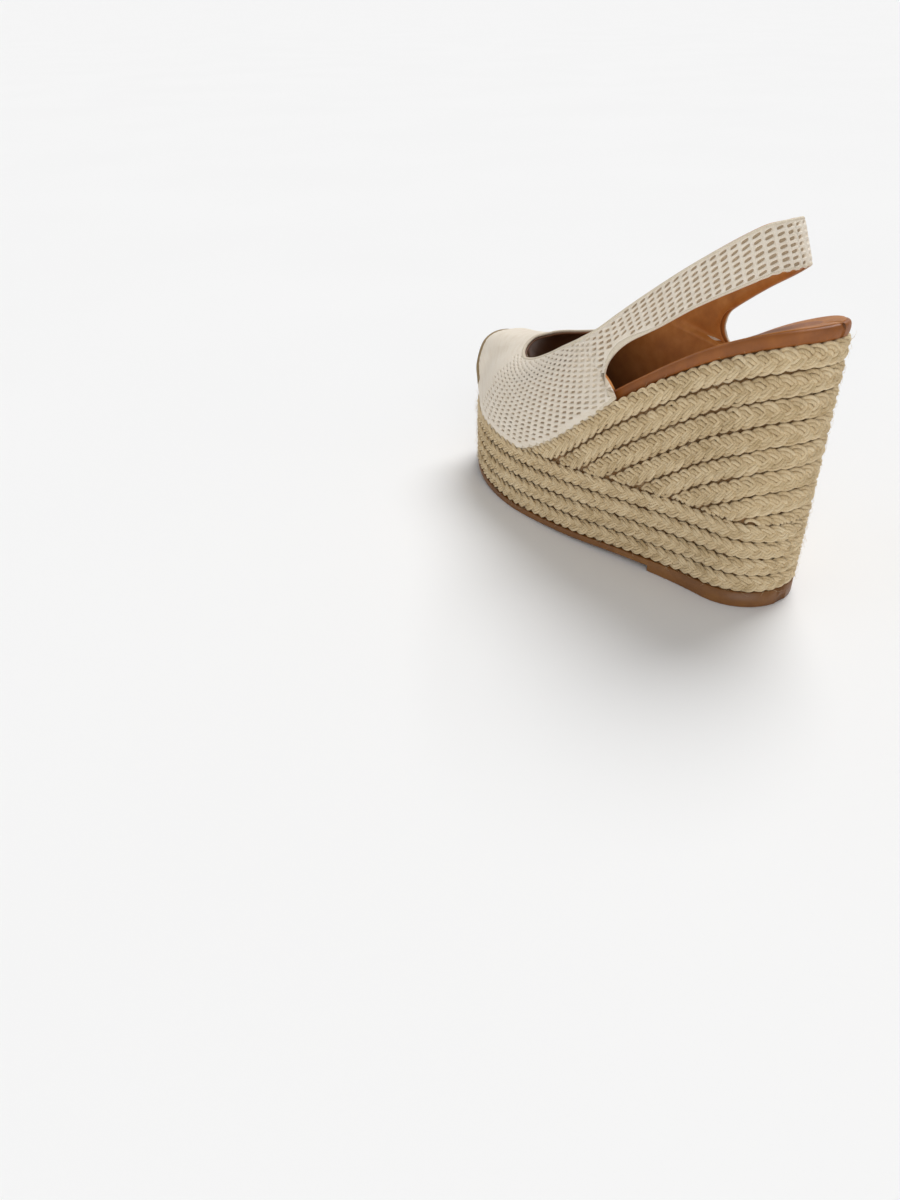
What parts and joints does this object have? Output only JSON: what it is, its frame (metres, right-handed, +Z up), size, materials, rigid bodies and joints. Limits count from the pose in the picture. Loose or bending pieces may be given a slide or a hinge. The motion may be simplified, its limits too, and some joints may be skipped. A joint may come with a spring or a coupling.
{
  "type": "wedge sandal",
  "caption": "Open-toe espadrille wedge sandal with a braided jute wedge, an open-mesh canvas upper, leather lining and a sling strap round the heel.",
  "frame": {"origin": "centre of the whole sandal's plan box, on the ground under the sole", "axes": "+X to the toe, +Y to the outer side of the foot, +Z up"},
  "size_m": [0.2304, 0.085, 0.168],
  "materials": {
    "jute": "three-strand braids of twisted natural jute, dry and slightly hairy",
    "canvas": "open-mesh cotton canvas in natural beige",
    "leather": "smooth tan leather, semi-matt",
    "rubber": "caramel moulded rubber, matt with a fine ribbed heel",
    "binding": "woven khaki tape",
    "elastic": "woven elastic",
    "board": "pressed fibre board",
    "core": "light moulded foam",
    "foam": "soft latex foam"
  },
  "bodies": {
    "shoe": {"outsole": "rubber", "wedge_core": "core", "insole_board": "board", "footbed_foam": "foam", "sock_lining": "leather", "edge_cover": "leather", "band_braid_1": "jute", "band_braid_2": "jute", "band_braid_3": "jute", "band_braid_4": "jute", "wedge_braid_1": "jute", "wedge_braid_2": "jute", "wedge_braid_3": "jute", "wedge_braid_4": "jute", "wedge_braid_5": "jute", "wedge_braid_6": "jute", "wedge_braid_7": "jute", "wedge_braid_8": "jute", "vamp_canvas": "canvas", "vamp_lining": "leather", "peep_binding": "binding"},
    "sling": {"sling_canvas": "canvas", "sling_lining": "leather", "heel_elastic": "elastic"}
  },
  "joints": [
    {"name": "sling_flex", "type": "hinge", "parent": "shoe", "child": "sling", "pos_m": [-0.03025, 0, 0.122], "axis": [0, 1, 0], "range_deg": [-15, 10], "stiffness_Nm_per_rad": 0.2}
  ]
}
